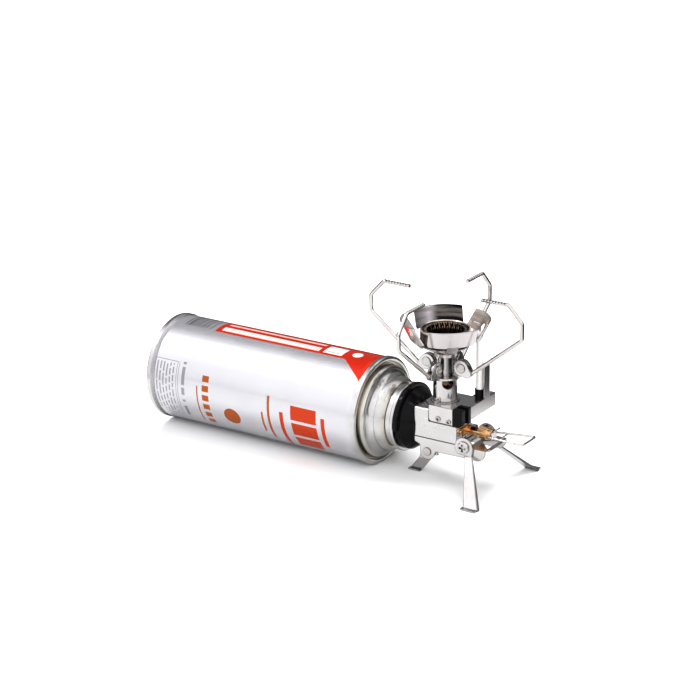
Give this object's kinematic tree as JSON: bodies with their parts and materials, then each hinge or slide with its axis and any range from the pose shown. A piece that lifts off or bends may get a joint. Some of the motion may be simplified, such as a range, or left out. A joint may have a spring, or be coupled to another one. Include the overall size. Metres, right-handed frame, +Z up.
{
  "type": "canister stove",
  "caption": "Folding camp stove fixed to the end of a lying cassette gas canister, with wire pot arms, flared wind shield, piezo igniter and folding legs.",
  "frame": {"origin": "centre of the whole object's box, at ground level", "axes": "+X from the canister to the valve knob, +Y across, +Z up; the burner's axis is vertical at x = +0.0717"},
  "size_m": [0.2616, 0.108, 0.1197],
  "materials": {
    "printed_steel": "satin silver coat with printed bars",
    "tin_steel": "bright tinplate",
    "inner_steel": "plain",
    "black_plastic": "glossy moulded",
    "block_alloy": "fine satin",
    "stainless_sheet": "polished sheet",
    "stainless_wire": "bright wire",
    "burner_steel": "heat tinted",
    "screw_steel": "nickel plated",
    "brass": "turned",
    "rubber": "matte",
    "white_ceramic": "glazed",
    "white_plastic": "moulded"
  },
  "bodies": {
    "stove": {"inlet_seal": "rubber", "regulator_diaphragm": "rubber", "regulator_spring": "inner_steel", "piezo_spring": "inner_steel", "regulator_cap": "inner_steel", "collar": "black_plastic", "piezo_housing": "black_plastic", "electrode_boot": "black_plastic", "regulator_block": "block_alloy", "top_plate": "stainless_sheet", "mixing_tube": "stainless_sheet", "leg_bracket": "stainless_sheet", "support_hub": "stainless_sheet", "wind_shield_right": "stainless_sheet", "wind_shield_back": "stainless_sheet", "wind_shield_left": "stainless_sheet", "wind_shield_front": "stainless_sheet", "electrode_wire": "stainless_wire", "burner_neck": "burner_steel", "burner_cup": "burner_steel", "flame_ring": "burner_steel", "burner_plate": "burner_steel", "plate_screws": "screw_steel", "bracket_screws": "screw_steel", "leg_screws": "screw_steel", "tube_screw": "screw_steel", "block_plug": "screw_steel", "foot_rivet": "screw_steel", "arm_rivets": "screw_steel", "gas_jet": "brass", "inlet_nipple": "brass", "valve_gland": "brass", "electrode_insulator": "white_ceramic"},
    "canister": {"can_body": "printed_steel", "can_base": "tin_steel", "can_shoulder": "tin_steel", "can_valve_cup": "tin_steel", "can_flange": "tin_steel", "can_valve_housing": "white_plastic", "can_dip_tube": "white_plastic", "can_valve_seal": "rubber", "can_valve_spring": "inner_steel"},
    "can_stem": {"can_valve_stem": "white_plastic"},
    "arm_right": {"pot_arm_right": "stainless_wire", "arm_clip_right": "stainless_sheet"},
    "arm_back": {"pot_arm_back": "stainless_wire", "arm_clip_back": "stainless_sheet"},
    "arm_left": {"pot_arm_left": "stainless_wire", "arm_clip_left": "stainless_sheet"},
    "arm_front": {"pot_arm_front": "stainless_wire", "arm_clip_front": "stainless_sheet"},
    "front_leg": {"leg_front": "stainless_sheet"},
    "back_leg": {"leg_back": "stainless_sheet"},
    "rear_foot": {"rear_foot": "stainless_sheet"},
    "valve": {"valve_spindle": "brass", "valve_seal": "rubber", "knob_hub": "brass", "knob_tab": "stainless_sheet"},
    "handle": {"wire_handle": "stainless_wire"},
    "igniter_button": {"piezo_button": "black_plastic"}
  },
  "joints": [
    {"name": "canister_pull", "type": "slide", "parent": "stove", "child": "canister", "axis": [-1, 0, 0], "range_m": [0, 0.03]},
    {"name": "stem_press", "type": "slide", "parent": "canister", "child": "can_stem", "axis": [-1, 0, 0], "range_m": [0, 0.002], "stiffness_N_per_m": 1500, "springref_m": -0.002, "deforming": ["can_valve_spring"]},
    {"name": "arm_right_fold", "type": "hinge", "parent": "stove", "child": "arm_right", "pos_m": [0.0837, 0, 0.0732], "axis": [0, -1, 0], "range_deg": [0, 26]},
    {"name": "arm_back_fold", "type": "hinge", "parent": "stove", "child": "arm_back", "pos_m": [0.0717, 0.012, 0.0732], "axis": [1, 0, 0], "range_deg": [0, 26]},
    {"name": "arm_left_fold", "type": "hinge", "parent": "stove", "child": "arm_left", "pos_m": [0.0597, 0, 0.0732], "axis": [0, 1, 0], "range_deg": [0, 26]},
    {"name": "arm_front_fold", "type": "hinge", "parent": "stove", "child": "arm_front", "pos_m": [0.0717, -0.012, 0.0732], "axis": [-1, 0, 0], "range_deg": [0, 26]},
    {"name": "front_leg_fold", "type": "hinge", "parent": "stove", "child": "front_leg", "pos_m": [0.0931, -0.0137, 0.0282], "axis": [0, 1, 0], "range_deg": [0, 110]},
    {"name": "back_leg_fold", "type": "hinge", "parent": "stove", "child": "back_leg", "pos_m": [0.0931, 0.0137, 0.0282], "axis": [0, 1, 0], "range_deg": [0, 110]},
    {"name": "rear_foot_fold", "type": "hinge", "parent": "stove", "child": "rear_foot", "pos_m": [0.0667, -0.0114, 0.0196], "axis": [0, -1, 0], "range_deg": [0, 118]},
    {"name": "valve_turn", "type": "hinge", "parent": "stove", "child": "valve", "pos_m": [0.0917, 0, 0.034], "axis": [1, 0, 0], "range_deg": [0, 360]},
    {"name": "handle_fold", "type": "hinge", "parent": "valve", "child": "handle", "pos_m": [0.1035, 0, 0.034], "axis": [0, -1, 0], "range_deg": [0, 90]},
    {"name": "igniter_press", "type": "slide", "parent": "stove", "child": "igniter_button", "axis": [0, 1, 0], "range_m": [0, 0.0035], "stiffness_N_per_m": 800, "springref_m": -0.0025, "deforming": ["piezo_spring"]}
  ]
}
